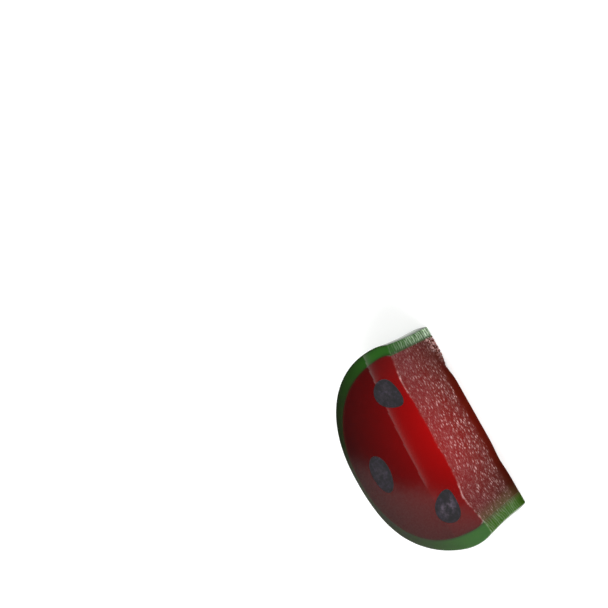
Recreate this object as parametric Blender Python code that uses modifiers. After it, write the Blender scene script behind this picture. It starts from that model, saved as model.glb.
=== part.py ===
"""Fruit-shaped licorice candy: one piece cut from a soft rope whose section is a slice of watermelon.

A green rind goes round the curved side, the red flesh fills it up to the flat side, and three
black seeds run through the whole thickness. Metres, +Z up. The candy lies on one of its two cut
faces, so Z is the direction in which the rope was pressed out. X runs along the flat side, the
flat side faces +Y and the rind's round belly faces -Y. The origin is under the middle of the box.
"""

import math
import random

import bmesh
import bpy

MM = 0.001

# Driving sizes of the slice
HALF_WIDTH = 13.6 * MM
DEPTH = 13.7 * MM
THICKNESS = 12.5 * MM
GAP = 0.3 * MM

# The rind's outside is a superellipse, widest a little below the flat side and squarer on the right
WIDEST_BELOW_FLAT = 2.7 * MM
UPPER_HALF_HEIGHT = 8.4 * MM
LEFT_POWER = 2.17
RIGHT_POWER = 2.36
ARC_STEPS = 60
RIM_ROUND = 0.4 * MM
RIM_SEGMENTS = 3
WAIST = 0.14 * MM
WAIST_LEVELS = 6

# The rind is thin under the belly and thick where it meets the flat side
RIND_THIN = 0.5 * MM
RIND_EXTRA = 1.1 * MM
RIND_POWER = 2.2

# The flat side sags between the rind's two lips, most at the upper cut
SAG = 0.65 * MM
SAG_POWER = 5
LIP_X = 13.1 * MM
DIPS = ((-8.2 * MM, 0.2 * MM), (7.8 * MM, 0.45 * MM))
DIP_WIDTH = 1.8 * MM
LOW_EDGE_DROP = 0.08 * MM
LOW_EDGE_HEIGHT = 0.8 * MM

# Relief of the flat side: ridges across the rind's ends, short bumps along the flesh
RIDGES = 16
RIDGE_DEPTH = 0.12 * MM
BUMP_DEPTH = 0.16 * MM
BUMP_LENGTH = 0.75 * MM
BUMP_SEED = 11

# Seeds: middle, half length, half width, turn in degrees, and how much one end narrows
SEEDS = {
    "seed_1": (-7.6 * MM, -3.3 * MM, 2.22 * MM, 1.77 * MM, 42, 0.2),
    "seed_2": (0.8 * MM, -9.9 * MM, 2.53 * MM, 1.37 * MM, -3, 0.1),
    "seed_3": (8.0 * MM, -3.7 * MM, 2.21 * MM, 1.72 * MM, 147, 0.22),
}
SEED_STEPS = 28

FLAT_Y = DEPTH / 2
CENTRE_Y = FLAT_Y - WIDEST_BELOW_FLAT
LOWER_HALF_HEIGHT = DEPTH - WIDEST_BELOW_FLAT
BEYOND = 3 * MM
CUTTER_DEPTH = 6 * MM


def clear_scene():
    for thing in list(bpy.data.objects):
        bpy.data.objects.remove(thing)


def new_collection(name):
    collection = bpy.data.collections.new(name)
    bpy.context.scene.collection.children.link(collection)
    return collection


def linear(channel):
    return channel / 12.92 if channel <= 0.04045 else ((channel + 0.055) / 1.055) ** 2.4


def candy_material(name, colour, roughness):
    """A Principled material from an sRGB colour written as six hex digits."""
    material = bpy.data.materials.new(name)
    material.use_nodes = True
    shader = material.node_tree.nodes["Principled BSDF"]
    red, green, blue = (int(colour[i : i + 2], 16) / 255 for i in (0, 2, 4))
    shader.inputs["Base Color"].default_value = (linear(red), linear(green), linear(blue), 1)
    shader.inputs["Roughness"].default_value = roughness
    shader.inputs["Metallic"].default_value = 0
    return material


def arc_radius(phi):
    """Distance from the section's centre to the rind's outside, at the angle phi."""
    power = RIGHT_POWER if math.cos(phi) > 0 else LEFT_POWER
    height = UPPER_HALF_HEIGHT if math.sin(phi) > 0 else LOWER_HALF_HEIGHT
    across = abs(math.cos(phi) / HALF_WIDTH) ** power
    along = abs(math.sin(phi) / height) ** power
    return (across + along) ** (-1 / power)


def rind_thickness(phi):
    return RIND_THIN + RIND_EXTRA * abs(math.cos(phi)) ** RIND_POWER


def lip_angle(inset, side):
    """Angle above the widest line at which the outline passes the flat side, on side 1 or -1."""
    low, high = 0.0, math.pi / 4
    for _ in range(40):
        middle = (low + high) / 2
        phi = middle if side > 0 else math.pi - middle
        if (arc_radius(phi) - inset(phi)) * math.sin(middle) < WIDEST_BELOW_FLAT:
            low = middle
        else:
            high = middle
    return low


def section(inset, top):
    """Outline of the slice moved in by inset(phi): round from lip to lip, then straight up to top."""
    right = lip_angle(inset, 1)
    left = lip_angle(inset, -1)
    start, end = right, -math.pi - left
    points = []
    for step in range(ARC_STEPS + 1):
        phi = start + (end - start) * step / ARC_STEPS
        radius = arc_radius(phi) - inset(phi)
        points.append((radius * math.cos(phi), CENTRE_Y + radius * math.sin(phi)))
    points.append((points[-1][0], top))
    points.append((points[0][0], top))
    return points


def seed_outline(middle_x, below_flat, half_length, half_width, turn, narrowing, grow):
    """Outline of a seed: an oval whose far end is narrower, turned by turn degrees and grown by grow."""
    cosine, sine = math.cos(math.radians(turn)), math.sin(math.radians(turn))
    points = []
    for step in range(SEED_STEPS):
        theta = 2 * math.pi * step / SEED_STEPS
        along = (half_length + grow) * math.cos(theta)
        across = (half_width + grow) * math.sin(theta) * (1 - narrowing * math.cos(theta))
        x = middle_x + along * cosine - across * sine
        y = FLAT_Y + below_flat + along * sine + across * cosine
        points.append((x, y))
    return points


def prism(name, points, low, high, collection):
    """A filled outline pressed out from the height low to the height high, as a closed mesh."""
    curve = bpy.data.curves.new(name, "CURVE")
    curve.dimensions = "2D"
    curve.fill_mode = "BOTH"
    curve.extrude = (high - low) / 2
    spline = curve.splines.new("POLY")
    spline.points.add(len(points) - 1)
    for point, (x, y) in zip(spline.points, points):
        point.co = (x, y, 0, 1)
    spline.use_cyclic_u = True
    guide = bpy.data.objects.new(name + "_outline", curve)
    guide.location.z = (low + high) / 2
    bpy.context.scene.collection.objects.link(guide)
    bpy.context.view_layer.update()
    graph = bpy.context.evaluated_depsgraph_get()
    mesh = bpy.data.meshes.new_from_object(guide.evaluated_get(graph))
    mesh.transform(guide.matrix_world)
    bpy.data.objects.remove(guide)
    bpy.data.curves.remove(curve)

    shape = bmesh.new()
    shape.from_mesh(mesh)
    bmesh.ops.remove_doubles(shape, verts=shape.verts, dist=0.001 * MM)
    for height in (low, high):
        cap = [f for f in shape.faces if all(abs(v.co.z - height) < 0.01 * MM for v in f.verts)]
        bmesh.ops.dissolve_faces(shape, faces=cap)
    bmesh.ops.recalc_face_normals(shape, faces=shape.faces)
    shape.to_mesh(mesh)
    shape.free()
    mesh.name = name
    solid = bpy.data.objects.new(name, mesh)
    collection.objects.link(solid)
    return solid


def draw_in_waist(solid):
    """Splits the upright faces into levels and draws the middle ones in, as a soft rope relaxes."""
    shape = bmesh.new()
    shape.from_mesh(solid.data)
    upright = [e for e in shape.edges if abs(e.verts[0].co.z - e.verts[1].co.z) > THICKNESS / 2]
    bmesh.ops.subdivide_edges(shape, edges=upright, cuts=WAIST_LEVELS - 1, use_grid_fill=True)
    for vertex in shape.verts:
        drawn = WAIST * math.sin(math.pi * vertex.co.z / THICKNESS)
        phi = math.atan2(vertex.co.y - CENTRE_Y, vertex.co.x)
        vertex.co.x -= drawn * math.cos(phi)
        vertex.co.y -= drawn * math.sin(phi)
    shape.to_mesh(solid.data)
    shape.free()


def flat_side(x, z):
    """Y of the flat side at (x, z), without its relief."""
    sag = SAG * (1 - min(1.0, abs(x) / LIP_X) ** SAG_POWER)
    for place, depth in DIPS:
        sag += depth * math.exp(-(((x - place) / DIP_WIDTH) ** 2))
    low = max(0.0, 1 - z / LOW_EDGE_HEIGHT)
    return FLAT_Y - sag * z / THICKNESS - LOW_EDGE_DROP * low**2


def skin_cutter(collection):
    """The block that the flat side is trimmed with: its near face is the flat side with its relief."""
    draw = random.Random(BUMP_SEED)
    row_height = THICKNESS / RIDGES / 2
    rows = 2 * RIDGES + 4
    columns = 2 * round((HALF_WIDTH + BEYOND / 2) / BUMP_LENGTH)
    inner_x = HALF_WIDTH - RIND_THIN - RIND_EXTRA
    shape = bmesh.new()
    bmesh.ops.create_grid(shape, x_segments=columns, y_segments=rows, size=1)
    for vertex in sorted(shape.verts, key=lambda v: (round(v.co.y, 4), round(v.co.x, 4))):
        column = round((vertex.co.x + 1) * columns / 2)
        row = round((vertex.co.y + 1) * rows / 2)
        x = (column - columns / 2) * BUMP_LENGTH
        z = (row - 1.5) * row_height
        relief = RIDGE_DEPTH * (row % 2) if abs(x) > inner_x else BUMP_DEPTH * draw.random()
        vertex.co = (x, flat_side(x, max(0.0, z)) - relief, z)
    pushed = bmesh.ops.extrude_face_region(shape, geom=list(shape.faces))
    moved = [item for item in pushed["geom"] if isinstance(item, bmesh.types.BMVert)]
    bmesh.ops.translate(shape, verts=moved, vec=(0, CUTTER_DEPTH, 0))
    bmesh.ops.recalc_face_normals(shape, faces=shape.faces)
    mesh = bpy.data.meshes.new("skin_cutter")
    shape.to_mesh(mesh)
    shape.free()
    cutter = bpy.data.objects.new("skin_cutter", mesh)
    collection.objects.link(cutter)
    return cutter


def cut(solid, cutter):
    cutter.hide_render = True
    cutter.display_type = "WIRE"
    modifier = solid.modifiers.new("cut by " + cutter.name, "BOOLEAN")
    modifier.operation = "DIFFERENCE"
    modifier.solver = "EXACT"
    modifier.object = cutter


def round_rims(solid):
    modifier = solid.modifiers.new("round rims", "BEVEL")
    modifier.width = RIM_ROUND
    modifier.segments = RIM_SEGMENTS
    modifier.limit_method = "ANGLE"
    modifier.angle_limit = math.radians(50)


def finish(solid, material, parent):
    solid.data.materials.clear()
    solid.data.materials.append(material)
    solid.data.shade_smooth()
    solid.data.set_sharp_from_angle(angle=math.radians(35))
    solid.parent = parent


def main():
    clear_scene()
    candy = new_collection("watermelon_licorice")
    cutters = new_collection("cutters")
    root = bpy.data.objects.new("watermelon_licorice_root", None)
    candy.objects.link(root)

    rind_green = candy_material("licorice_rind_green", "2B551E", 0.25)
    flesh_red = candy_material("licorice_flesh_red", "7A1316", 0.22)
    seed_black = candy_material("licorice_seed_black", "383339", 0.55)

    skin = skin_cutter(cutters)

    rind = prism("rind", section(lambda phi: 0, FLAT_Y + BEYOND / 2), 0, THICKNESS, candy)
    draw_in_waist(rind)
    round_rims(rind)
    hollow = prism(
        "rind_hollow",
        section(lambda phi: rind_thickness(phi) - GAP / 2, FLAT_Y + BEYOND),
        -BEYOND,
        THICKNESS + BEYOND,
        cutters,
    )
    cut(rind, hollow)
    cut(rind, skin)
    finish(rind, rind_green, root)

    flesh_section = section(lambda phi: rind_thickness(phi) + GAP / 2, FLAT_Y + BEYOND / 2)
    flesh = prism("flesh", flesh_section, 0, THICKNESS, candy)
    cut(flesh, skin)
    for name, size in SEEDS.items():
        seed = prism(name, seed_outline(*size, -GAP / 2), 0, THICKNESS, candy)
        finish(seed, seed_black, root)
        socket_points = seed_outline(*size, GAP / 2)
        socket = prism(name + "_socket", socket_points, -BEYOND, THICKNESS + BEYOND, cutters)
        cut(flesh, socket)
    finish(flesh, flesh_red, root)


main()
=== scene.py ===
# %% [markdown]
# # A slice of watermelon licorice
#
# The object is one bite of a soft licorice rope. Three gels are pressed through one die side by
# side: green for the rind, red for the flesh and black for the seeds. The rope comes out with the
# section of a watermelon slice, and a blade chops it into pieces, so every layer runs straight
# through from one cut face to the other.
#
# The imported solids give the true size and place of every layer. This script lays a finer surface
# over each of them: the knife's faces, the die's grain on the flat side, and gels that let light in.

import math
import random

import bmesh
import bpy
import numpy as np
from mathutils import Matrix, Vector, geometry, noise


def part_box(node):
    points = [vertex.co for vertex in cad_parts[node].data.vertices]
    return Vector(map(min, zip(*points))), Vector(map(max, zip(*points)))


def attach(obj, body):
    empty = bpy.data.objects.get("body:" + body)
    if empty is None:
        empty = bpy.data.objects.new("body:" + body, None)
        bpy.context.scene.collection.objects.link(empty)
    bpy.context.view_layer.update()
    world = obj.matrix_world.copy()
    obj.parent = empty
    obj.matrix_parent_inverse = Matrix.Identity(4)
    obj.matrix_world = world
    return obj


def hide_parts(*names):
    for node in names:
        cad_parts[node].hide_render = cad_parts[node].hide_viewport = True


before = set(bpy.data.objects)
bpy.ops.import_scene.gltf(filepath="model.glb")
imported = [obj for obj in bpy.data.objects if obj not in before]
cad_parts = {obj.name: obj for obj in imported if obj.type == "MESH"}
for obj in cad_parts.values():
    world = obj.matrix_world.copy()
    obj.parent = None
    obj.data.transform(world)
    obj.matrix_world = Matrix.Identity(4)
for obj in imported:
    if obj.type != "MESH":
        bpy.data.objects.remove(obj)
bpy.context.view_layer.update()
MM = 0.001

# %% [markdown]
# ## Driving sizes
#
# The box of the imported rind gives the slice's thickness. The rest are the few numbers that shape
# its section, in millimetres: a superellipse for the rind's outside, a rind that is thin under the
# belly and thick at its two lips, and three eggs for the seeds. They are the same as in the solids,
# but for the left lip, where the photograph's rind is 0.28 mm thinner.
#
# Each seed has its middle's place across and below the flat side, its half length and half width,
# its turn in degrees and how much narrower one end is.

# %% Sizes of the slice
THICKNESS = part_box("rind")[1].z / MM
HALF_WIDTH = 13.6
DEPTH = 13.7
FLAT_Y = DEPTH / 2
WIDEST_BELOW_FLAT = 2.7
CENTRE_Y = FLAT_Y - WIDEST_BELOW_FLAT
LOWER_HALF_HEIGHT = DEPTH - WIDEST_BELOW_FLAT
UPPER_HALF_HEIGHT = 8.4
LEFT_POWER = 2.17
RIGHT_POWER = 2.36
RIND_THIN = 0.5
RIND_EXTRA = 1.1
RIND_POWER = 2.2
LEFT_LIP_THINNER = 0.28
LEFT_LIP_AT = math.radians(168)
LEFT_LIP_SPREAD = 0.03
SEEDS = {
    "seed_1": (-7.6, -3.3, 2.22, 1.77, 42, 0.2),
    "seed_2": (0.8, -9.9, 2.53, 1.37, -3, 0.1),
    "seed_3": (8.0, -3.7, 2.21, 1.72, 147, 0.22),
}
print("flat side at y", FLAT_Y, "and upper cut at z", round(THICKNESS, 2))

# %% [markdown]
# ## The camera
#
# The photograph looks down on the cut face from above the flat side. Its view was worked out from
# the four corners of the flat side: a point on the cut face's plane that the view's axis meets,
# the direction and distance from which it is seen, and how far the camera is rolled.

# %% Camera
AIM = Vector((-23.0, -0.9, 12.5))
CAMERA_DISTANCE = 168.4
CAMERA_AZIMUTH = 78.96
CAMERA_ELEVATION = 60.06
CAMERA_ROLL = -109.34
LENS = 77.8


def direction(azimuth, elevation):
    """Unit vector at an azimuth counted from +X towards +Y, and an elevation, in degrees."""
    turn, rise = math.radians(azimuth), math.radians(elevation)
    return Vector((math.cos(turn) * math.cos(rise), math.sin(turn) * math.cos(rise), math.sin(rise)))


def looking_from(place, target, roll=0.0):
    """Matrix of a camera or light at place that faces target, rolled by some degrees, in mm."""
    back = (place - target).normalized()
    turn = back.to_track_quat("Z", "Y").to_matrix() @ Matrix.Rotation(math.radians(roll), 3, "Z")
    return Matrix.Translation(place * MM) @ turn.to_4x4()


camera_data = bpy.data.cameras.new("camera")
camera_data.lens = LENS
camera_data.sensor_width = 36
camera_data.clip_start = 0.01
camera_data.clip_end = 10
camera = bpy.data.objects.new("camera", camera_data)
bpy.context.scene.collection.objects.link(camera)
camera_place = AIM + CAMERA_DISTANCE * direction(CAMERA_AZIMUTH, CAMERA_ELEVATION)
camera.matrix_world = looking_from(camera_place, AIM, CAMERA_ROLL)
bpy.context.scene.camera = camera
print("camera at", [round(v, 1) for v in camera_place], "mm")

# %% [markdown]
# ## The section
#
# A die is a hole in a plate, so a pressed rope is described by its outline. The outside is read
# from an angle round the slice's centre. The rind's inside is the same curve moved in by the
# rind's thickness, and each seed is an oval whose one end is narrower. Curves drawn by hand would
# do as well, but a formula lets the inner and the outer curve share the same numbers.


# %% Outlines of the section
def outer_radius(phi):
    """Distance from the section's centre to the rind's outside at the angles phi."""
    power = np.where(np.cos(phi) > 0, RIGHT_POWER, LEFT_POWER)
    height = np.where(np.sin(phi) > 0, UPPER_HALF_HEIGHT, LOWER_HALF_HEIGHT)
    across = np.abs(np.cos(phi) / HALF_WIDTH) ** power
    along = np.abs(np.sin(phi) / height) ** power
    return (across + along) ** (-1 / power)


def rind_thickness(phi):
    """Thickness of the rind, which is greatest at the lips and less at the left one."""
    thinner = LEFT_LIP_THINNER * np.exp((np.cos(phi - LEFT_LIP_AT) - 1) / LEFT_LIP_SPREAD)
    return RIND_THIN + RIND_EXTRA * np.abs(np.cos(phi)) ** RIND_POWER - thinner


def evenly(points, step):
    """The same line through points, with its points about step apart and both ends kept."""
    lengths = np.hypot(*np.diff(points, axis=0).T)
    run = np.concatenate([[0], np.cumsum(lengths)])
    count = max(2, round(run[-1] / step) + 1)
    places = np.linspace(0, run[-1], count)
    return np.stack([np.interp(places, run, points[:, axis]) for axis in (0, 1)], axis=1)


def belly_curve(inset, step):
    """The curve from the left lip, under the belly, to the right lip, moved in by inset(phi)."""
    angles = np.linspace(0, math.pi / 4, 500)
    ends = []
    for phi in (angles, math.pi - angles):
        rise = (outer_radius(phi) - inset(phi)) * np.sin(angles)
        ends.append(np.interp(WIDEST_BELOW_FLAT, rise, angles))
    phi = np.linspace(-math.pi - ends[1], ends[0], 2000)
    radius = outer_radius(phi) - inset(phi)
    curve = np.stack([radius * np.cos(phi), CENTRE_Y + radius * np.sin(phi)], axis=1)
    return evenly(curve, step)


def seed_curve(middle_x, below_flat, half_length, half_width, turn, narrowing, step):
    """A closed egg, anticlockwise, whose one end is narrower."""
    theta = np.linspace(0, 2 * math.pi, 400)
    along = half_length * np.cos(theta)
    across = half_width * np.sin(theta) * (1 - narrowing * np.cos(theta))
    turned = Matrix.Rotation(math.radians(turn), 2)
    curve = np.stack([along, across], axis=1) @ np.array(turned).T
    return evenly(curve + (middle_x, FLAT_Y + below_flat), step)[:-1]


belly = belly_curve(lambda phi: 0 * phi, 0.3)
print("the rind's outside is", round(float(np.hypot(*np.diff(belly, axis=0).T).sum()), 1), "mm long")

# %% [markdown]
# ## How the soft rope gave way
#
# The blade drags on a soft gel. The flat side sags between the rind's firmer lips, most at the
# upper cut, and has two small dents at its lower edge. Between its ends the piece relaxes to a
# slight waist. These shapes show from a step away, so they are moved points and not bump.

# %% Sag and waist
SAG = 0.65
SAG_POWER = 5
LIP_X = 13.1
DIPS = ((-8.2, 0.2), (7.8, 0.45))
DIP_WIDTH = 1.8
LOW_DENTS = ((-7.2, 0.28, 1.2), (6.6, 0.16, 1.6))
LOW_DENT_HEIGHT = 1.8
WAIST = 0.12
HAND_DENT = 0.05


def sag(x, z):
    """How far the flat side lies below the lips' plane."""
    sagged = SAG * (1 - np.minimum(1, np.abs(x) / LIP_X) ** SAG_POWER)
    for place, depth in DIPS:
        sagged = sagged + depth * np.exp(-(((x - place) / DIP_WIDTH) ** 2))
    low = np.maximum(0, 1 - z / LOW_DENT_HEIGHT) ** 1.5
    dents = sum(depth * np.exp(-(((x - place) / width) ** 2)) for place, depth, width in LOW_DENTS)
    return sagged * z / THICKNESS + low * dents


def smooth_step(values, start, end):
    """0 before start, 1 after end, and a smooth rise between them."""
    share = np.clip((values - start) / (end - start), 0, 1)
    return share * share * (3 - 2 * share)


def wavy(points, size, seed):
    """Smooth noise from -1 to 1 at points in mm, with waves about size mm across."""
    shift = Vector((seed * 17.3, seed * 5.1, seed * 9.7))
    return np.array([noise.noise(Vector(p) / size + shift) for p in points])


def waist(points, height):
    """How far the rind's outside is drawn in: a waist, and soft dents from handling."""
    dents = 0.5 + 0.5 * wavy(np.column_stack([points, height * 0.35]), 5.0, 3)
    return (WAIST + HAND_DENT * dents) * np.sin(math.pi * height / THICKNESS)


# %% [markdown]
# ## The crease and the painted sheen
#
# A crease runs across the cut, probably where the blade stopped for a moment and the gel behind it
# tore free: the far part lies a few hundredths of a millimetre lower. It is too shallow to see as a
# shape, so the pale band along it is a painted highlight. Towards the lower right the cut is greyed
# by a painted sheen, a reflection of the bright room. A bump map could hint at the step, but it is
# real height here, and the painted sheen is a number that every point of the face carries to its
# material.

# %% Crease and painted sheen
CREASE_AT = (1.87, -0.037, 0.0032)
CREASE_END_X = 4.9
CREASE_END_WIDTH = 0.35
CREASE_DEPTH = 0.03
CREASE_WIDTH = 0.36
CREASE_HIGHLIGHT = 1.1
SLOW_RELIEF = 0.004
SHEEN_FROM = (-3.0, -6.1)
SHEEN_ALONG = 43.7
SHEEN_BULGE = (1.2, 7.3, 2.6)
SHEEN_EDGE = 2.2
SHEEN_SHARE = 0.85
LIP_SHEEN = 0.1


def past_crease(x, y):
    """Distance in mm from the crease, positive on the side of the flat side."""
    return y - (CREASE_AT[0] + CREASE_AT[1] * x + CREASE_AT[2] * x**2)


def crease_fade(x):
    """1 along the crease and 0 past its right end."""
    return 1 / (1 + np.exp((x - CREASE_END_X) / CREASE_END_WIDTH))


def cut_relief(x, y):
    """Height of the cut face, at most 0."""
    past = past_crease(x, y)
    step = CREASE_DEPTH * np.exp(-np.maximum(0, past) / CREASE_WIDTH) * crease_fade(x)
    slow = SLOW_RELIEF * wavy(np.column_stack([x, y, 0 * x]), 3.5, 1) - SLOW_RELIEF
    return slow - step


def painted_sheen(x, y):
    """How much painted sheen and painted crease highlight grey the cut face, about 1 at the lower right and
    along the crease.
    """
    turn = math.radians(SHEEN_ALONG)
    away = (x - SHEEN_FROM[0]) * math.sin(turn) - (y - SHEEN_FROM[1]) * math.cos(turn)
    along = (x - SHEEN_FROM[0]) * math.cos(turn) + (y - SHEEN_FROM[1]) * math.sin(turn)
    size, place, width = SHEEN_BULGE
    points = np.column_stack([x, y, 0 * x])
    away = away - size * np.exp(-(((along - place) / width) ** 2)) + 0.35 * wavy(points, 0.5, 2)
    cut_sheen = SHEEN_SHARE / (1 + np.exp(-4 * away / SHEEN_EDGE)) * (0.25 + 0.75 * smooth_step(x, -7, 2))
    # The pale band along the crease is a painted highlight, and the left lip gets a faint painted sheen on
    # the flat side's side of the crease.
    past = past_crease(x, y)
    crease_shine = np.where(past > -0.05, np.exp(-np.maximum(0, past) / CREASE_WIDTH), 0) * crease_fade(x)
    speckle = 1 + 0.12 * wavy(points, 0.25, 9)
    crease_shine = crease_shine * (1 + 0.6 * smooth_step(-x, 4, 9))
    lip = LIP_SHEEN * smooth_step(-x, 5, 11) * (past > 0)
    return np.maximum(cut_sheen * speckle, CREASE_HIGHLIGHT * crease_shine) + lip


# %% [markdown]
# ## The die's grain on the flat side
#
# Where the rope leaves the die too cold its skin tears into fine scales. On the flesh they are
# raised flakes, 0.2 to 0.4 mm wide and 0.1 to 0.2 mm high, boldest in the middle. Each is a small
# hill of its own, drawn with a fixed seed. A bump texture would be lighter, but these scales catch
# the light one by one and break the edges, so they are real height. The real grain is probably
# finer still, too fine to show from here, so it is drawn as coarse as the picture shows it.

# %% Scales of the flesh
FLESH_HALF_WIDTH = 12
SCALE_PITCH_X = 0.48
SCALE_PITCH_Z = 0.45
SCALE_HEIGHT = 0.12
SCALE_REACH = 0.8
MOTTLE_DEPTH = 0.02
draw = random.Random(5)
scales = []
for row in range(int(THICKNESS / SCALE_PITCH_Z) + 2):
    for column in range(int(2 * FLESH_HALF_WIDTH / SCALE_PITCH_X) + 2):
        shift = 0.5 * (row % 2) + draw.uniform(-0.4, 0.4)
        x = -FLESH_HALF_WIDTH + (column + shift) * SCALE_PITCH_X
        z = (row + draw.uniform(-0.4, 0.4)) * SCALE_PITCH_Z
        half_width = draw.uniform(0.1, 0.2)
        half_height = draw.uniform(0.05, 0.09)
        lean = draw.uniform(-0.2, 0.3)
        bright = draw.random() ** 2.8
        scales.append((x, z, half_width, half_height, lean, bright))
print(len(scales), "scales on the flat side")


def scale_strength(x, z):
    """The scales are boldest in the middle of the flat side and fainter near the upper cut."""
    across = np.exp(-(np.abs((x - 0.5) / 8.5) ** 4))
    return (0.32 + 0.68 * across) * (1 - 0.5 * smooth_step(z, 8.5, 11.0))


def flesh_scales(x, z, points):
    """Depth below the crests in mm, and the painted glint from 0 to 1. The last 2 mm are smooth."""
    hills = np.zeros(len(x))
    for place_x, place_z, half_width, half_height, lean, bright in scales:
        near = (np.abs(x - place_x) < SCALE_REACH) & (np.abs(z - place_z) < SCALE_REACH)
        near = np.flatnonzero(near)
        across = x[near] - place_x
        up = z[near] - place_z - lean * across
        hill = bright * np.exp(-((across / half_width) ** 2) - (up / half_height) ** 2)
        hills[near] = np.maximum(hills[near], hill)
    smooth_band = 1 - smooth_step(z + 0.5 * wavy(points, 1.2, 7), 1.5, 2.4)
    smooth_band = smooth_band * smooth_step(x, -9.5, -6.5)
    hills = hills * (1 - smooth_band) * scale_strength(x, z)
    mottle = (0.5 + 0.5 * wavy(points, 0.55, 4)) * (1 - smooth_band)
    return SCALE_HEIGHT * (1 - hills) - MOTTLE_DEPTH * mottle, 1.3 * hills + 0.06 * mottle


# %% [markdown]
# Near the lower left corner the skin has torn into wrinkles. They are drawn as the lines where a
# smooth noise crosses zero, which wander and meet like real folds.

# %% Wrinkles at the torn corner
WRINKLE_DEPTH = 0.18


def torn_share(x, z, points):
    """1 in the torn corner and 0 outside it, with a ragged border."""
    torn_up_to = 2.8 - 0.5 * (x + 12) + 0.5 * wavy(points, 0.8, 10)
    return smooth_step(-x, 5.5, 8.5) * (1 - smooth_step(z - torn_up_to, -0.7, 0.5))


def wrinkles(x, points):
    """Depth in mm and paleness of the wrinkles, which are pale between the folds."""
    folds = np.abs(wavy(points * (0.55, 1, 1.25), 0.3, 8) + 0.5 * wavy(points, 0.2, 16))
    folds = np.clip(1.1 - 2.6 * folds, 0, 1)
    pale = np.clip(0.8 - 1.3 * folds, 0, 1) * (0.3 + 0.5 * smooth_step(-x, 8.0, 10.5))
    return 0.03 + WRINKLE_DEPTH * folds, pale


# %% [markdown]
# On the rind's ends the scales have joined to ridges across the rope, about 0.6 mm apart. Their
# crests carry a painted highlight, bold on the left lip and faint on the right one, and brightest at
# the left lip's lower end, where it is painted light from the white table.

# %% Ridges of the rind
RIDGE_PITCH = 0.62
RIDGE_DEPTH = 0.09


def rind_ridges(x, z, points):
    """Depth in mm and painted highlight of the ridges."""
    wave = 0.6 * wavy(points * (1, 1, 0.4), 1.1, 5) + 0.4 * wavy(points, 0.4, 6)
    ridge = 0.5 - 0.5 * np.cos(2 * math.pi * (z + 0.2 * x + 0.5 * wave) / RIDGE_PITCH)
    ridge = np.clip(ridge * (0.85 + 1.1 * wavy(points * (0.4, 1, 1), 0.6, 11)), 0, 1)
    table_lit_end = 0.5 * (1 - smooth_step(z, 1.0, 2.8))
    strength = np.where(x < 0, 0.78 - z / 16.0 + table_lit_end, 0.12 * smooth_step(z, 0.8, 3.5))
    strength = strength * (1 - smooth_step(-x, 13.0, 13.15))
    return RIDGE_DEPTH * (1 - ridge * strength), (0.95 * ridge + 0.05) * strength


# %% [markdown]
# The upper edge of this skin is nicked by less than a tenth of a millimetre, and carries a painted
# highlight, strongest where it is bent most: at its two dips and towards the right end.

# %% The whole flat side
NICKS = 0.05
LONG_NICKS = 0.09


def upper_edge(x, z, points):
    """Depth of the nicks along the upper cut in mm, and the edge's painted highlight."""
    along = points * (1, 1, 0)
    nicks = NICKS * wavy(along, 0.35, 12) + LONG_NICKS * wavy(along, 1.3, 13)
    dips = sum(np.exp(-(((x - place) / 1.7) ** 2)) for place, _ in DIPS)
    ends = 0.8 * smooth_step(x, 8.0, 12.0) + 0.1 * smooth_step(-x, 8.0, 12.0)
    pale = (0.04 + 0.36 * np.maximum(dips, ends)) * (0.7 + 1.2 * wavy(along, 0.35, 14))
    near_cut = smooth_step(z, THICKNESS - 0.5, THICKNESS - 0.1)
    return near_cut * nicks, smooth_step(z, THICKNESS - 0.18, THICKNESS - 0.09) * pale


def mixed(first, second, share):
    """Depth and paleness of the first grain, turned into those of the second by share."""
    return [a * (1 - share) + share * b for a, b in zip(first, second)]


def skin_grain(x, z):
    """How far the flat side's grain lies below its crests, and its painted glint, 0 to 1."""
    points = np.column_stack([x, 0 * x, z])
    grain = mixed(flesh_scales(x, z, points), wrinkles(x, points), torn_share(x, z, points))
    on_rind = smooth_step(np.where(x < 0, -x - LEFT_LIP_THINNER, x), 11.5, 11.9)
    depth, crest = mixed(grain, rind_ridges(x, z, points), on_rind)
    nicks, edge_highlight = upper_edge(x, z, points)
    return depth + nicks, np.clip(np.maximum(crest, edge_highlight), 0, 1)


# %% [markdown]
# ## Pressing a layer
#
# Every layer is made the same way: its outline is carried up from the lower cut to the upper one
# in many rings, each ring is moved by the sag, the waist and the grain, and the two cuts are closed
# with a fine net of triangles. The outer edge of a cut is rounded by letting the last rings step
# inwards along a quarter circle. Blender could extrude the outline and bevel it, but rings let the
# edge's radius change from 0.14 mm round the rind to 0.07 mm along the flat side.
#
# Every point also remembers five things for the materials: whether it lies on the pressed skin, how
# much painted glint it has at the crests of the grain, its distance in mm from the next gel, how much
# painted sheen lies on it and how much light comes back out of the gel there, which is painted into
# the colour.

# %% Rings of a wall
ROUND_STEPS = 5
WALL_STEP = 0.1
CAP_STEP = 0.15


class Loop:
    """One closed outline with, at every point, what the press and the knife do there."""

    def __init__(self, *stretches):
        parts = [np.concatenate([s[part] for s in stretches]) for part in range(5)]
        self.points, self.rim, self.inward, self.skin, self.outside = parts


def stretch(points, rim=0, inward=(0, -1), skin=0, outside=0):
    """A stretch of an outline. Each setting is one value or one for every point."""
    count = len(points)
    return (
        np.array(points, float),
        np.broadcast_to(np.array(rim, float), count),
        np.broadcast_to(np.array(inward, float), (count, 2)),
        np.broadcast_to(np.array(skin, float), count),
        np.broadcast_to(np.array(outside, float), count),
    )


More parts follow.
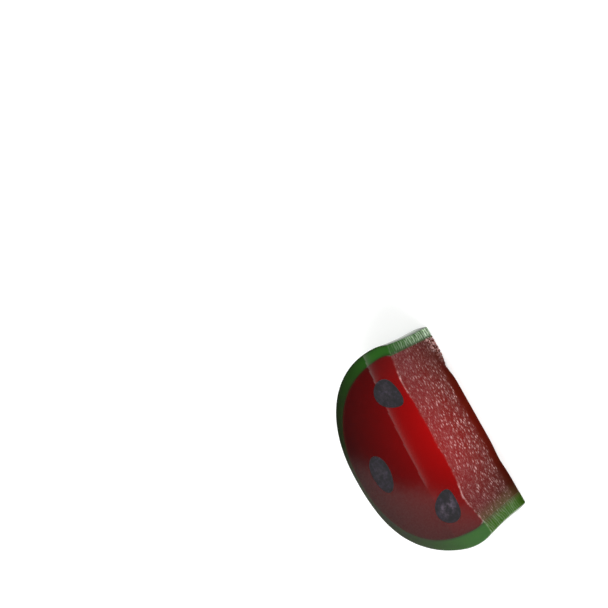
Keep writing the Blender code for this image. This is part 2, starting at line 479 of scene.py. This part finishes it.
def rings(loop, levels):
    """The loop carried from cut to cut: rings of points in mm, with their skin and painted glint."""
    quarter = np.linspace(0, math.pi / 2, ROUND_STEPS)
    lower = [(1 - math.sin(a), 1 - math.cos(a), 0.0) for a in quarter]
    upright = [(0.0, 0.0, share) for share in np.linspace(0, 1, levels)[1:-1]]
    upper = [(1 - math.cos(a), math.sin(a) - 1, 1.0) for a in quarter]
    lean = np.clip((loop.points[:, 1] - CENTRE_Y) / WIDEST_BELOW_FLAT, 0, 1)
    radial = loop.points - (0, CENTRE_Y)
    radial = radial / np.hypot(*radial.T)[:, None]
    made = []
    for inset, off_cut, share in lower + upright + upper:
        on_rim = share in (0.0, 1.0)
        z = share * THICKNESS + off_cut * loop.rim
        if not on_rim:
            z = loop.rim + share * (THICKNESS - 2 * loop.rim)
        xy = loop.points + loop.inward * (loop.rim * inset)[:, None]
        if loop.outside.any():
            xy = xy - radial * (loop.outside * waist(loop.points, z))[:, None]
        down = sag(loop.points[:, 0], z) * lean
        crest = np.zeros(len(z))
        if loop.skin.any():
            depth, crest = skin_grain(loop.points[:, 0], z)
            down = down + loop.skin * depth
            crest = crest * loop.skin
        xy = xy - np.column_stack([0 * down, down])
        skin = loop.skin * (1 - 0.5 * inset)
        made.append(np.column_stack([xy, z, skin, crest]))
    return np.array(made)


# %% Net over a cut
def inside(points, outlines):
    """Which points lie inside the outlines, by counting the edges to their left."""
    crossings = np.zeros(len(points), int)
    for outline in outlines:
        ends = np.roll(outline, -1, axis=0)
        for (x0, y0), (x1, y1) in zip(outline, ends):
            if y0 == y1:
                continue
            span = (points[:, 1] >= min(y0, y1)) & (points[:, 1] < max(y0, y1))
            at = x0 + (points[:, 1] - y0) * (x1 - x0) / (y1 - y0)
            crossings += span & (points[:, 0] > at)
    return crossings % 2 == 1


def nearest(points, targets):
    """Distance from each of the points to the nearest of the targets."""
    return np.concatenate(
        [
            np.hypot(*(part[:, None] - targets[None]).transpose(2, 0, 1)).min(axis=1)
            for part in np.array_split(points, len(points) // 500 + 1)
        ]
    )


def cap_net(outlines, step):
    """Points inside the outlines, and triangles over outlines and points together."""
    edge_points = np.concatenate(outlines)
    lowest, highest = edge_points.min(axis=0), edge_points.max(axis=0)
    rows = np.arange(lowest[1], highest[1], step * 0.87)
    grid = []
    for number, y in enumerate(rows):
        x = np.arange(lowest[0] + (number % 2) * step / 2, highest[0], step)
        grid.append(np.column_stack([x, np.full(len(x), y)]))
    grid = np.concatenate(grid)
    grid = grid[inside(grid, outlines)]
    grid = grid[nearest(grid, edge_points) > 0.6 * step]
    every = np.concatenate([edge_points, grid])
    edges = []
    start = 0
    for outline in outlines:
        count = len(outline)
        edges += [(start + i, start + (i + 1) % count) for i in range(count)]
        start += count
    made = geometry.delaunay_2d_cdt([Vector(p) for p in every], edges, [], 0, 1e-6)
    origin = [found[0] for found in made[3]]
    triangles = np.array([[origin[i] for i in face] for face in made[2]])
    triangles = triangles[inside(every[triangles].mean(axis=1), outlines)]
    a, b, c = (every[triangles[:, i]] for i in range(3))
    turn = (b[:, 0] - a[:, 0]) * (c[:, 1] - a[:, 1]) - (b[:, 1] - a[:, 1]) * (c[:, 0] - a[:, 0])
    triangles[turn < 0] = triangles[turn < 0][:, ::-1]
    return grid, triangles


# %% A closed mesh
LOW_CAP_STEP = 0.5


def pressed_layer(name, loops, levels, relief, borders, glow):
    """A closed mesh of one layer. loops holds its outline, counted anticlockwise, then its holes."""
    vertices, faces = [], []
    total = 0
    ends = {"low": [], "high": []}
    for loop, count in zip(loops, levels):
        made = rings(loop, count)
        turns, around = made.shape[:2]
        number = total + np.arange(turns * around).reshape(turns, around)
        vertices.append(made.reshape(-1, 5))
        total += turns * around
        ends["low"].append(number[0])
        ends["high"].append(number[-1])
        after = np.roll(number, -1, axis=1)
        quads = np.stack([number[:-1], after[:-1], after[1:], number[1:]], axis=-1)
        faces += quads.reshape(-1, 4).tolist()
    walls = np.concatenate(vertices)
    for cut, z, step in (("low", 0.0, LOW_CAP_STEP), ("high", THICKNESS, CAP_STEP)):
        outlines = [walls[numbers][:, :2] for numbers in ends[cut]]
        grid, triangles = cap_net(outlines, step)
        numbers = np.concatenate([*ends[cut], total + np.arange(len(grid))])
        total += len(grid)
        vertices.append(np.column_stack([grid, np.full(len(grid), z), np.zeros((len(grid), 2))]))
        placed = numbers[triangles if cut == "high" else triangles[:, ::-1]]
        faces += placed.tolist()
    every = np.concatenate(vertices)
    points = every[:, :3]
    share = points[:, 2] / THICKNESS
    remembered = {
        "skin": every[:, 3],
        "crest": every[:, 4],
        "from_next_gel": nearest(points[:, :2], borders),
        "painted_sheen": painted_sheen(points[:, 0], points[:, 1]) * (1 - every[:, 3]),
        "glow": glow(*points.T, every[:, 3]),
    }
    points[:, 2] += share * relief(points[:, 0], points[:, 1])
    mesh = bpy.data.meshes.new(name)
    mesh.from_pydata((points * MM).tolist(), [], faces)
    for label, values in remembered.items():
        layer = mesh.attributes.new(label, "FLOAT", "POINT")
        layer.data.foreach_set("value", values.astype(np.float32))
    return mesh


# %% [markdown]
# The rings coincide where an edge has no rounding, so doubled points are merged once and the thin
# faces between them go. Then the mesh is shaded smooth, except across the cut's true edges.

# %% Finish a mesh
SHARP_ANGLE = math.radians(50)


def finished(mesh, material):
    """Merges doubled points, shades the mesh and puts it in the scene."""
    shape = bmesh.new()
    shape.from_mesh(mesh)
    bmesh.ops.remove_doubles(shape, verts=shape.verts, dist=0.0005 * MM)
    bmesh.ops.recalc_face_normals(shape, faces=shape.faces)
    loose = [edge for edge in shape.edges if len(edge.link_faces) != 2]
    shape.to_mesh(mesh)
    shape.free()
    mesh.shade_smooth()
    mesh.set_sharp_from_angle(angle=SHARP_ANGLE)
    mesh.materials.append(material)
    piece = bpy.data.objects.new(mesh.name, mesh)
    bpy.context.scene.collection.objects.link(piece)
    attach(piece, "root")
    print(mesh.name, "has", len(mesh.polygons), "faces and", len(loose), "open edges")
    return piece


# %% [markdown]
# ## Nodes for the gels
#
# A colour is written as it would be picked from a picture, in sRGB, and one function turns it into
# the linear values that a shader works with. One small function adds a node with its settings and
# links, so that a material reads from top to bottom.


# %% Colour and node helpers
def linear(colour):
    """Linear RGBA from an sRGB colour written as six hex digits."""
    channels = [int(colour[i : i + 2], 16) / 255 for i in (1, 3, 5)]
    return [c / 12.92 if c <= 0.04045 else ((c + 0.055) / 1.055) ** 2.4 for c in channels] + [1.0]


def feed(node, inputs):
    """Gives a node's inputs, by name or number, a value, a colour, or another node's output."""
    for name, value in inputs.items():
        if isinstance(name, int):
            socket = node.inputs[name]
        else:
            socket = next(s for s in node.inputs if s.enabled and s.name == name)
        if isinstance(value, bpy.types.Node):
            value = next(output for output in value.outputs if output.enabled)
        if isinstance(value, bpy.types.NodeSocket):
            node.id_data.links.new(value, socket)
        else:
            socket.default_value = linear(value) if isinstance(value, str) else value


def add(tree, kind, inputs=None, stops=None, **settings):
    """Adds a node with its settings, its inputs and, for a colour ramp, its stops."""
    node = tree.nodes.new(kind)
    for name, value in settings.items():
        setattr(node, name, value)
    feed(node, inputs or {})
    if stops:
        while len(node.color_ramp.elements) < len(stops):
            node.color_ramp.elements.new(1.0)
        for element, (place, colour) in zip(node.color_ramp.elements, stops):
            element.position = place
            element.color = linear(colour) if isinstance(colour, str) else [colour] * 3 + [1]
    return node


def new_gel(name):
    """A material with its shader, and nodes for what its points know of themselves."""
    material = bpy.data.materials.new(name)
    material.use_nodes = True
    tree = material.node_tree
    place = add(tree, "ShaderNodeTexCoord").outputs["Object"]
    known = {"mm": add(tree, "ShaderNodeVectorMath", {0: place, "Scale": 1 / MM}, operation="SCALE")}
    known["axes"] = add(tree, "ShaderNodeSeparateXYZ", {0: known["mm"]})
    for label in ("skin", "crest", "from_next_gel", "painted_sheen", "glow"):
        known[label] = add(tree, "ShaderNodeAttribute", attribute_name=label).outputs["Fac"]
    return material, tree, tree.nodes["Principled BSDF"], known


SMOOTH = {"interpolation_type": "SMOOTHSTEP"}

# %% [markdown]
# ## Red licorice gel
#
# Such a gel is usually starch and glucose, pressed while warm and cut with an oiled blade. Light
# goes some millimetres into it before it turns back, red furthest. So it glows near the middle of
# the flat side and sinks to a dark maroon against the rind. Subsurface scattering alone could give
# that, but it is slow and an exported model loses it. So most of the glow is worked out at each
# point and mixed in as colour, and a little true scattering softens the edges.

# %% How the flesh glows
GLOW_MIDDLE_X = -0.6
GLOW_HALF_WIDTH = 11.0
GLOW_LOSS = 0.121
GLOW_PAST_CREASE = 0.46
SIDE_MIDDLE_X = 1.1
SIDE_HALF_WIDTHS = (12.0, 8.4)
SIDE_LOW = 0.3
SIDE_RISE = 6.6
SIDE_SHARE = 0.8


def flesh_glow(x, y, z, skin):
    """Share of the red that comes back: 1 at the middle of the flat side's upper edge."""
    past = past_crease(x, y)
    bell = np.exp(-(((x - GLOW_MIDDLE_X) / GLOW_HALF_WIDTH) ** 2))
    bell = bell ** np.where(past > 0, 1, 0.63 + 0.37 * np.exp(np.minimum(0, past) / 3))
    near = np.exp(-GLOW_LOSS * np.maximum(0, FLAT_Y - 1 - y))
    far = GLOW_PAST_CREASE * (1.64 * np.exp(0.094 * np.minimum(0, past)) - 0.64)
    above = 1 / (1 + np.exp(-past / 0.06))
    cut = bell * (above * near + (1 - above) * far)
    # On the flat side the painted glow is darker towards the lower cut: painted shade near the table.
    half_width = np.where(x < SIDE_MIDDLE_X, *SIDE_HALF_WIDTHS)
    side = np.exp(-(np.abs((x - SIDE_MIDDLE_X) / half_width) ** 1.8))
    side = side * (1 - (1 - SIDE_LOW) * np.exp(-((np.maximum(0, z) / SIDE_RISE) ** 1.5)))
    return cut * (1 - skin) + SIDE_SHARE * side * skin


# %% [markdown]
# The colour is built up in layers: the painted glow of the gel, a darker line where it meets the rind,
# and then the painted sheen, whose speckle keeps it from looking like plain paint.

# %% Flesh colour
FLESH_DEEP = "#140304"
FLESH_LIT = "#900506"
FLESH_BORDER = "#34160D"
SHEEN_GREY = "#76706E"
SKIN_SHEEN_LOW = "#80522C"
SKIN_SHEEN_HIGH = "#7E4A4A"
GLINT_PINK = "#E0B4B0"
BY_THE_RIND = "#4A4228"
flesh_gel, tree, shader, known = new_gel("red_licorice_gel_pressed_and_knife_cut")
x, z = (known["axes"].outputs[axis] for axis in "XZ")
red = add(
    tree, "ShaderNodeMix", {"Factor": known["glow"], "A": FLESH_DEEP, "B": FLESH_LIT}, data_type="RGBA"
)
near = add(
    tree, "ShaderNodeMapRange", {"Value": known["from_next_gel"], 1: 0.0, 2: 0.35, 3: 0.6, 4: 0.0}, **SMOOTH
)
red = add(tree, "ShaderNodeMix", {"Factor": near, "A": red, "B": FLESH_BORDER}, data_type="RGBA")
# The painted sheen, a reflection of the bright room, is mixed in as a speckled grey.
speckle = add(
    tree, "ShaderNodeTexNoise", {"Vector": known["mm"], "Scale": 4.0, "Detail": 3.0, "Roughness": 0.7}
)
speckle = add(tree, "ShaderNodeMapRange", {"Value": speckle, 1: 0.25, 2: 0.75, 3: 0.09, 4: 0.19})
grey = add(tree, "ShaderNodeMath", {0: known["painted_sheen"], 1: speckle}, operation="MULTIPLY")
red = add(tree, "ShaderNodeMix", {"Factor": grey, "A": red, "B": SHEEN_GREY}, data_type="RGBA")

# %% [markdown]
# The pressed skin is duller than the cut. A pale painted sheen lies on it in patches, stronger towards
# the upper cut, warm near the lower cut and rosier above. Beside the right lip it is brown, probably
# because green lies behind the red there.

# %% Flesh skin
patches = add(
    tree, "ShaderNodeTexNoise", {"Vector": known["mm"], "Scale": 0.9, "Detail": 4.0, "Roughness": 0.65}
)
skin_sheen = add(tree, "ShaderNodeMapRange", {"Value": patches, 1: 0.35, 2: 0.7, 3: 0.8, 4: 1.6}, **SMOOTH)
rising = add(tree, "ShaderNodeMapRange", {"Value": z, 1: 4.5, 2: 9.5, 3: 0.05, 4: 0.14}, **SMOOTH)
for share in (known["skin"], rising):
    skin_sheen = add(tree, "ShaderNodeMath", {0: skin_sheen, 1: share}, operation="MULTIPLY")
warmth = add(tree, "ShaderNodeMapRange", {"Value": z, 1: 2.0, 2: 9.0})
skin_sheen_colour = add(
    tree, "ShaderNodeMix", {"Factor": warmth, "A": SKIN_SHEEN_LOW, "B": SKIN_SHEEN_HIGH}, data_type="RGBA"
)
red = add(tree, "ShaderNodeMix", {"Factor": skin_sheen, "A": red, "B": skin_sheen_colour}, data_type="RGBA")
beside = add(tree, "ShaderNodeMapRange", {"Value": x, 1: 9.6, 2: 11.9, 3: 0.0, 4: 0.9}, **SMOOTH)
shaded = add(tree, "ShaderNodeMapRange", {"Value": z, 1: 0.5, 2: 4.0, 3: 0.3, 4: 1.0})
for share in (shaded, known["skin"]):
    beside = add(tree, "ShaderNodeMath", {0: beside, 1: share}, operation="MULTIPLY")
red = add(tree, "ShaderNodeMix", {"Factor": beside, "A": red, "B": BY_THE_RIND}, data_type="RGBA")

# %% [markdown]
# The crests of the scales carry painted glints: a pale pink mixed into the colour. A noise with
# grains of about 0.2 mm breaks each crest up and scatters small painted glints over the skin between
# them. Much finer grains would be lost, since a pixel of the photograph is 0.13 mm wide there.

# %% Flesh grain
taller = add(tree, "ShaderNodeVectorMath", {0: known["mm"], 1: (1.0, 1.0, 0.85)}, operation="MULTIPLY")
fine = add(tree, "ShaderNodeTexNoise", {"Vector": taller, "Scale": 5.5, "Detail": 3.0, "Roughness": 0.7})
breaks = add(tree, "ShaderNodeMapRange", {"Value": fine, 1: 0.3, 2: 0.7, 3: 0.35, 4: 1.5})
pale = add(tree, "ShaderNodeMapRange", {"Value": known["crest"], 1: 0.03, 2: 0.8, 3: 0.0, 4: 0.75})
pale = add(tree, "ShaderNodeMath", {0: pale, 1: breaks}, operation="MULTIPLY")
between_glints = add(tree, "ShaderNodeMapRange", {"Value": fine, 1: 0.47, 2: 0.75, 3: 0.0, 4: 0.14})
grained = add(tree, "ShaderNodeMapRange", {"Value": z, 1: 1.4, 2: 3.0}, **SMOOTH)
for share in (known["skin"], grained):
    between_glints = add(tree, "ShaderNodeMath", {0: between_glints, 1: share}, operation="MULTIPLY")
pale = add(tree, "ShaderNodeMath", {0: pale, 1: between_glints}, operation="ADD", use_clamp=True)
red = add(tree, "ShaderNodeMix", {"Factor": pale, "A": red, "B": GLINT_PINK}, data_type="RGBA")

# %% [markdown]
# The cut is as smooth as the blade and mirrors the windows. On the skin only the crests can see the
# room, and the troughs between them are dark, so the mirror there follows the crests.

# %% Flesh surface
rough = add(tree, "ShaderNodeMix", {"Factor": known["skin"], "A": 0.14, "B": 0.36})
glint = add(tree, "ShaderNodeMath", {0: known["crest"], 1: 0.3}, operation="MULTIPLY")
level = add(tree, "ShaderNodeMix", {"Factor": known["skin"], "A": 0.5, "B": glint})
feed(shader, {"Base Color": red, "Roughness": rough, "IOR": 1.4, "Specular IOR Level": level})
feed(shader, {"Subsurface Weight": 0.3, "Subsurface Radius": (0.8, 0.15, 0.1), "Subsurface Scale": MM})
print("red gel has", len(tree.nodes), "nodes")

# %% [markdown]
# ## Green licorice gel
#
# The rind is the same gel in bottle green, and it is thin. Like the flesh it has a painted glow: light
# that comes back through the gel, painted as colour, brightest near the flat side and darker towards
# the belly. Its right half is a little lighter, and its pressed ends carry a painted grey-green
# highlight on the ridges.

# %% How the rind glows
RIND_REACH = 7.0
LEFT_SHARE = 0.76
LOWERED_LOSS = 0.2
WALL_SHARE = 0.62
WALL_STREAKS = 0.16
DARK_RIM = 0.28
DARK_RIM_LOSS = 0.6
CORNER_LOSS = 0.8


def rind_cut_glow(x, y):
    """Share of the green that comes back through the cut, less past the crease."""
    down = np.maximum(0, FLAT_Y - 1 - y)
    cut = np.exp(-((down / RIND_REACH) ** 2)) * np.where(x < 0, LEFT_SHARE, 1.0)
    lowered = (1 - 1 / (1 + np.exp(-past_crease(x, y) / 0.06))) * (x < 0)
    return cut * (1 - LOWERED_LOSS * lowered)


def rind_glow(x, y, z, skin):
    """Share of the green that comes back: 1 at the right end of the flat side."""
    streaks = wavy(np.column_stack([x, y, 0.06 * z]), 2.2, 15)
    wall = smooth_step(THICKNESS - z, 0.15, 0.8)
    cut = rind_cut_glow(x, y) * (1 - wall) + (WALL_SHARE + WALL_STREAKS * streaks) * wall
    from_middle = np.hypot(x, y - CENTRE_Y)
    from_outside = outer_radius(np.arctan2(y - CENTRE_Y, x)) - from_middle
    # A painted dark reflection darkens the cut along the left part of the outside edge.
    rim = np.exp(-((from_outside / DARK_RIM) ** 2)) * smooth_step(-x, 2, 8) * (1 - wall)
    cut = cut * (1 - DARK_RIM_LOSS * rim)
    # The left lip's outer corner of the pressed end is painted darker too: a painted dark reflection.
    corner = smooth_step(-x, 13.0, 13.15)
    # On the pressed ends the painted glow is darker towards the lower cut.
    side = np.where(x < 0, 0.9, 0.95) * (0.6 + 0.4 * smooth_step(z, 0, 4))
    return cut * (1 - skin) + side * (1 - CORNER_LOSS * corner) * skin


# %% Rind colour
RIND_DEEP = "#161A0C"
RIND_LIT = "#235A16"
RIND_BORDER = "#222411"
LEFT_STRIP = "#2A4A22"
RIGHT_STRIP = "#33520C"
RIDGE_HIGHLIGHT = "#B8CDB0"
rind_gel, tree, shader, known = new_gel("green_licorice_gel_pressed_and_knife_cut")
x = known["axes"].outputs["X"]
strip_share = add(tree, "ShaderNodeMath", {0: known["skin"], 1: 0.8}, operation="MULTIPLY")
right = add(tree, "ShaderNodeMapRange", {"Value": x, 1: -1.0, 2: 1.0})
strip_green = add(
    tree, "ShaderNodeMix", {"Factor": right, "A": LEFT_STRIP, "B": RIGHT_STRIP}, data_type="RGBA"
)
lit = add(tree, "ShaderNodeMix", {"Factor": strip_share, "A": RIND_LIT, "B": strip_green}, data_type="RGBA")
green = add(tree, "ShaderNodeMix", {"Factor": known["glow"], "A": RIND_DEEP, "B": lit}, data_type="RGBA")
near = add(
    tree, "ShaderNodeMapRange", {"Value": known["from_next_gel"], 1: 0.0, 2: 0.35, 3: 0.6, 4: 0.0}, **SMOOTH
)
green = add(tree, "ShaderNodeMix", {"Factor": near, "A": green, "B": RIND_BORDER}, data_type="RGBA")
# A little of the painted sheen: a grey reflection of the bright room.
grey = add(tree, "ShaderNodeMath", {0: known["painted_sheen"], 1: 0.18}, operation="MULTIPLY")
green = add(tree, "ShaderNodeMix", {"Factor": grey, "A": green, "B": SHEEN_GREY}, data_type="RGBA")
beside = add(tree, "ShaderNodeMapRange", {"Value": x, 1: 11.6, 2: 12.4, 3: 0.7, 4: 0.0}, **SMOOTH)
for share in (right, known["skin"]):
    beside = add(tree, "ShaderNodeMath", {0: beside, 1: share}, operation="MULTIPLY")
green = add(tree, "ShaderNodeMix", {"Factor": beside, "A": green, "B": BY_THE_RIND}, data_type="RGBA")
# A painted highlight on the crests of the ridges.
pale = add(tree, "ShaderNodeMath", {0: known["crest"], 1: known["skin"]}, operation="MULTIPLY")
green = add(tree, "ShaderNodeMix", {"Factor": pale, "A": green, "B": RIDGE_HIGHLIGHT}, data_type="RGBA")

# %% Rind surface
rough = add(tree, "ShaderNodeMix", {"Factor": known["skin"], "A": 0.14, "B": 0.3})
glint = add(tree, "ShaderNodeMath", {0: known["crest"], 1: 0.3}, operation="MULTIPLY")
level = add(tree, "ShaderNodeMix", {"Factor": known["skin"], "A": 0.5, "B": glint})
feed(shader, {"Base Color": green, "Roughness": rough, "IOR": 1.4, "Specular IOR Level": level})
feed(shader, {"Subsurface Weight": 0.3, "Subsurface Radius": (0.2, 0.5, 0.1), "Subsurface Scale": MM})
print("green gel has", len(tree.nodes), "nodes")

# %% [markdown]
# ## Black licorice gel
#
# Black gels are most often coloured with vegetable carbon, whose grains make the cut dull and
# slate-grey. The cut has paler patches, most on the right.

# %% Seed material
SEED_PALE_PATCH = "#77687A"
SEED_BORDER = "#2A1214"
seed_gel, tree, shader, known = new_gel("black_licorice_gel_with_carbon_grain")
grain = add(
    tree, "ShaderNodeTexNoise", {"Vector": known["mm"], "Scale": 2.6, "Detail": 5.0, "Roughness": 0.7}
)
stops = [(0.32, "#020103"), (0.5, "#0D0A10"), (0.68, "#2B2432")]
slate = add(tree, "ShaderNodeValToRGB", {"Fac": grain}, stops)
pale_patches = add(
    tree, "ShaderNodeTexNoise", {"Vector": known["mm"], "Scale": 0.8, "Detail": 4.0, "Roughness": 0.75}
)
pale_patches = add(tree, "ShaderNodeMapRange", {"Value": pale_patches, 1: 0.42, 2: 0.68, 3: 0.0, 4: 0.33}, **SMOOTH)
x = known["axes"].outputs["X"]
more = add(tree, "ShaderNodeMapRange", {"Value": x, 1: 2.0, 2: 8.0, 3: 0.35, 4: 1.0})
pale_patches = add(tree, "ShaderNodeMath", {0: pale_patches, 1: more}, operation="MULTIPLY")
inner = add(tree, "ShaderNodeMapRange", {"Value": known["from_next_gel"], 1: 0.3, 2: 1.0}, **SMOOTH)
pale_patches = add(tree, "ShaderNodeMath", {0: pale_patches, 1: inner}, operation="MULTIPLY")
slate = add(tree, "ShaderNodeMix", {"Factor": pale_patches, "A": slate, "B": SEED_PALE_PATCH}, data_type="RGBA")
near = add(
    tree, "ShaderNodeMapRange", {"Value": known["from_next_gel"], 1: 0.0, 2: 0.15, 3: 0.3, 4: 0.0}, **SMOOTH
)
slate = add(tree, "ShaderNodeMix", {"Factor": near, "A": slate, "B": SEED_BORDER}, data_type="RGBA")
bump = add(tree, "ShaderNodeBump", {"Strength": 0.4, "Distance": 0.03 * MM, "Height": grain})
feed(shader, {"Base Color": slate, "Roughness": 0.45, "IOR": 1.45, "Normal": bump})

# %% [markdown]
# ## Press the rind
#
# The rind is a U in section: the outside from lip to lip, a narrow strip on each lip where the
# grain shows, and the inside. The lips' outer corners are eased by a small curve.
#
# A soft rope is never quite as round as its die. In the photograph the outside stands a little
# proud of the solid at the right end and at the left, and is drawn in between the right end and the
# belly. Each swell has its middle in degrees, counted from +X, its half width in degrees and how far
# out it goes in mm.

# %% Rind
OUTER_STEP = 0.3
SKIN_STEP = 0.08
SEAM = 0.01
LIP_ROUND = 0.16
RIM = 0.14
LIP_RIM = 0.1
FLAT_RIM = 0.07
SWELLS = ((-140, 45, 0.07), (-30, 12, -0.12), (-2, 10, 0.28))


def outward(points):
    """Unit vectors away from the section's centre."""
    out = points - (0, CENTRE_Y)
    return out / np.hypot(*out.T)[:, None]


def swollen(points):
    """The points of the outside moved out and in by the swells."""
    angle = np.degrees(np.arctan2(points[:, 1] - CENTRE_Y, points[:, 0]))
    angle = np.where(angle > 90, angle - 360, angle)
    swell = sum(out * np.exp(-(((angle - place) / width) ** 2)) for place, width, out in SWELLS)
    return points + outward(points) * swell[:, None]


def eased_corner(before, corner, after):
    """Points of a small curve from before to after, drawn towards corner, without its ends."""
    t = np.linspace(0, 1, 7)[1:-1, None]
    return (1 - t) ** 2 * before + 2 * t * (1 - t) * corner + t**2 * after


def trimmed(curve, length):
    """The curve without a stretch of that length at each end."""
    run = np.concatenate([[0], np.cumsum(np.hypot(*np.diff(curve, axis=0).T))])
    places = np.linspace(length, run[-1] - length, len(curve))
    return np.stack([np.interp(places, run, curve[:, axis]) for axis in (0, 1)], axis=1)


def strip(start_x, end_x):
    """A straight stretch of the flat side."""
    return evenly(np.array([[start_x, FLAT_Y], [end_x, FLAT_Y]]), SKIN_STEP)


def share_of_lip(points):
    """1 at the lip's outer corner and 0 at the flesh."""
    return np.clip((np.abs(points[:, 0]) - 11.7) / 1.3, 0, 1)


rind_outside = belly_curve(lambda phi: 0 * phi, OUTER_STEP)
rind_inside = belly_curve(lambda phi: rind_thickness(phi) - SEAM / 2, OUTER_STEP)
rind_outside = swollen(rind_outside)
left_lip, right_lip = rind_outside[0], rind_outside[-1]
arc = trimmed(rind_outside, LIP_ROUND)
from_lip = np.minimum(np.hypot(*(arc - left_lip).T), np.hypot(*(arc - right_lip).T))
arc_rim = LIP_RIM + (RIM - LIP_RIM) * np.clip(from_lip / 2.5, 0, 1)
right_strip = strip(right_lip[0] - LIP_ROUND, rind_inside[-1][0])
left_strip = strip(rind_inside[0][0], left_lip[0] + LIP_ROUND)
right_corner = eased_corner(arc[-1], right_lip, right_strip[0])
left_corner = eased_corner(left_strip[-1], left_lip, arc[0])
inner = rind_inside[::-1][2:-2]
rind_loop = Loop(
    stretch(arc, arc_rim, -outward(arc), 0.9 * np.exp(-((from_lip / 0.8) ** 2)), 1),
    stretch(right_corner, LIP_RIM, -outward(right_corner), 1, 1),
    stretch(right_strip, FLAT_RIM, (0, -1), 1, share_of_lip(right_strip)),
    stretch(inner, 0, outward(inner)),
    stretch(left_strip, FLAT_RIM, (0, -1), 1, share_of_lip(left_strip)),
    stretch(left_corner, LIP_RIM, -outward(left_corner), 1, 1),
)
wall_levels = round(THICKNESS / WALL_STEP)
flesh_borders = belly_curve(rind_thickness, 0.05)
rind_mesh = pressed_layer("rind_gel", [rind_loop], [wall_levels], cut_relief, flesh_borders, rind_glow)
rind = finished(rind_mesh, rind_gel)
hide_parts("rind")

# %% [markdown]
# ## Press the flesh and the seeds
#
# The flesh fills the U and has a hole for each seed. Its flat side carries the scales, so its
# points lie 0.08 mm apart there, and 0.3 mm apart against the rind, where nothing shows. The seeds
# lie 0.015 mm below the cut, so that a fine line of shade parts them from the flesh.

# %% Flesh
flesh_outside = belly_curve(lambda phi: rind_thickness(phi) + SEAM / 2, OUTER_STEP)
flat = strip(flesh_outside[-1][0], flesh_outside[0][0])
hidden = flesh_outside[2:-2]
seed_borders = np.concatenate([seed_curve(*size, 0.05) for size in SEEDS.values()])
flesh_loops = [Loop(stretch(flat, FLAT_RIM, (0, -1), 1), stretch(hidden))]
flesh_loops += [Loop(stretch(seed_curve(*size, 0.15)[::-1])) for size in SEEDS.values()]
flesh_levels = [wall_levels, 12, 12, 12]
flesh_mesh = pressed_layer("flesh_gel", flesh_loops, flesh_levels, cut_relief, flesh_borders, flesh_glow)
flesh = finished(flesh_mesh, flesh_gel)
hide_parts("flesh")

# %% Seeds
SEED_SUNK = 0.015


def seed_relief(x, y):
    """Height of a seed's cut, which lies a little below the flesh's."""
    return cut_relief(x, y) - SEED_SUNK


for name, size in SEEDS.items():
    shrunk = (size[0], size[1], size[2] - SEAM, size[3] - SEAM, size[4], size[5])
    loop = Loop(stretch(seed_curve(*shrunk, 0.15)))
    seed_mesh = pressed_layer(name + "_gel", [loop], [12], seed_relief, seed_borders, flesh_glow)
    seed = finished(seed_mesh, seed_gel)
    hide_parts(name)

# %% [markdown]
# ## Floor and light
#
# The candy stands on a white table in a white room. Two soft windows behind it light the cut from
# left and right, so that the flat side is in their half shadow, and a low soft lamp in front of the
# flat side puts a glint on each scale.

# %% Floor
FLOOR_HALF = 3000
corners = [(-1, -1), (1, -1), (1, 1), (-1, 1)]
corners = [(x * FLOOR_HALF * MM, y * FLOOR_HALF * MM, 0) for x, y in corners]
floor_mesh = bpy.data.meshes.new("floor")
floor_mesh.from_pydata(corners, [], [(0, 1, 2, 3)])
floor = bpy.data.objects.new("floor", floor_mesh)
bpy.context.scene.collection.objects.link(floor)
floor_paint = bpy.data.materials.new("white_matt_laminate")
floor_paint.use_nodes = True
floor_shader = floor_paint.node_tree.nodes["Principled BSDF"]
floor_shader.inputs["Base Color"].default_value = linear("#F4F4F4")
floor_shader.inputs["Roughness"].default_value = 0.9
floor_shader.inputs["Emission Color"].default_value = linear("#FFFFFF")
floor_shader.inputs["Emission Strength"].default_value = 0.2
floor_mesh.materials.append(floor_paint)

# %% Lights
CANDY_TOP = Vector((0, 0, THICKNESS))


def soft_light(name, azimuth, elevation, distance, width, height, strength):
    """A soft rectangular light that faces the candy, at a distance and size in mm."""
    data = bpy.data.lights.new(name, "AREA")
    data.shape = "RECTANGLE"
    data.size = width * MM
    data.size_y = height * MM
    data.energy = strength * math.pi * data.size * data.size_y
    light = bpy.data.objects.new(name, data)
    light.matrix_world = looking_from(CANDY_TOP + distance * direction(azimuth, elevation), CANDY_TOP)
    bpy.context.scene.collection.objects.link(light)
    return light


soft_light("left_window", 178, 56, 500, 320, 260, 6.0)
soft_light("right_window", 3, 56, 500, 320, 260, 6.0)
soft_light("low_lamp", 88, 20, 500, 320, 110, 6.0)

# %% Room
room = bpy.data.worlds.new("white_room")
room.use_nodes = True
tree = room.node_tree
background = tree.nodes["Background"]
ray = add(tree, "ShaderNodeTexCoord").outputs["Generated"]
axes = add(tree, "ShaderNodeSeparateXYZ", {0: ray})
stops = [(0.0, 0.9), (0.5, 0.75), (0.79, 0.6), (0.86, 0.06), (1.0, 0.05)]
by_height = add(tree, "ShaderNodeValToRGB", {"Fac": axes.outputs["Z"]}, stops)
dim_left = add(
    tree, "ShaderNodeMapRange", {"Value": axes.outputs["X"], 1: -0.7, 2: 0.05, 3: 0.25, 4: 1.0}, **SMOOTH
)
strength = add(tree, "ShaderNodeMath", {0: by_height, 1: dim_left}, operation="MULTIPLY")
feed(background, {"Color": "#FFFFFF", "Strength": strength})
bpy.context.scene.world = room
bpy.context.scene.view_settings.view_transform = "Standard"
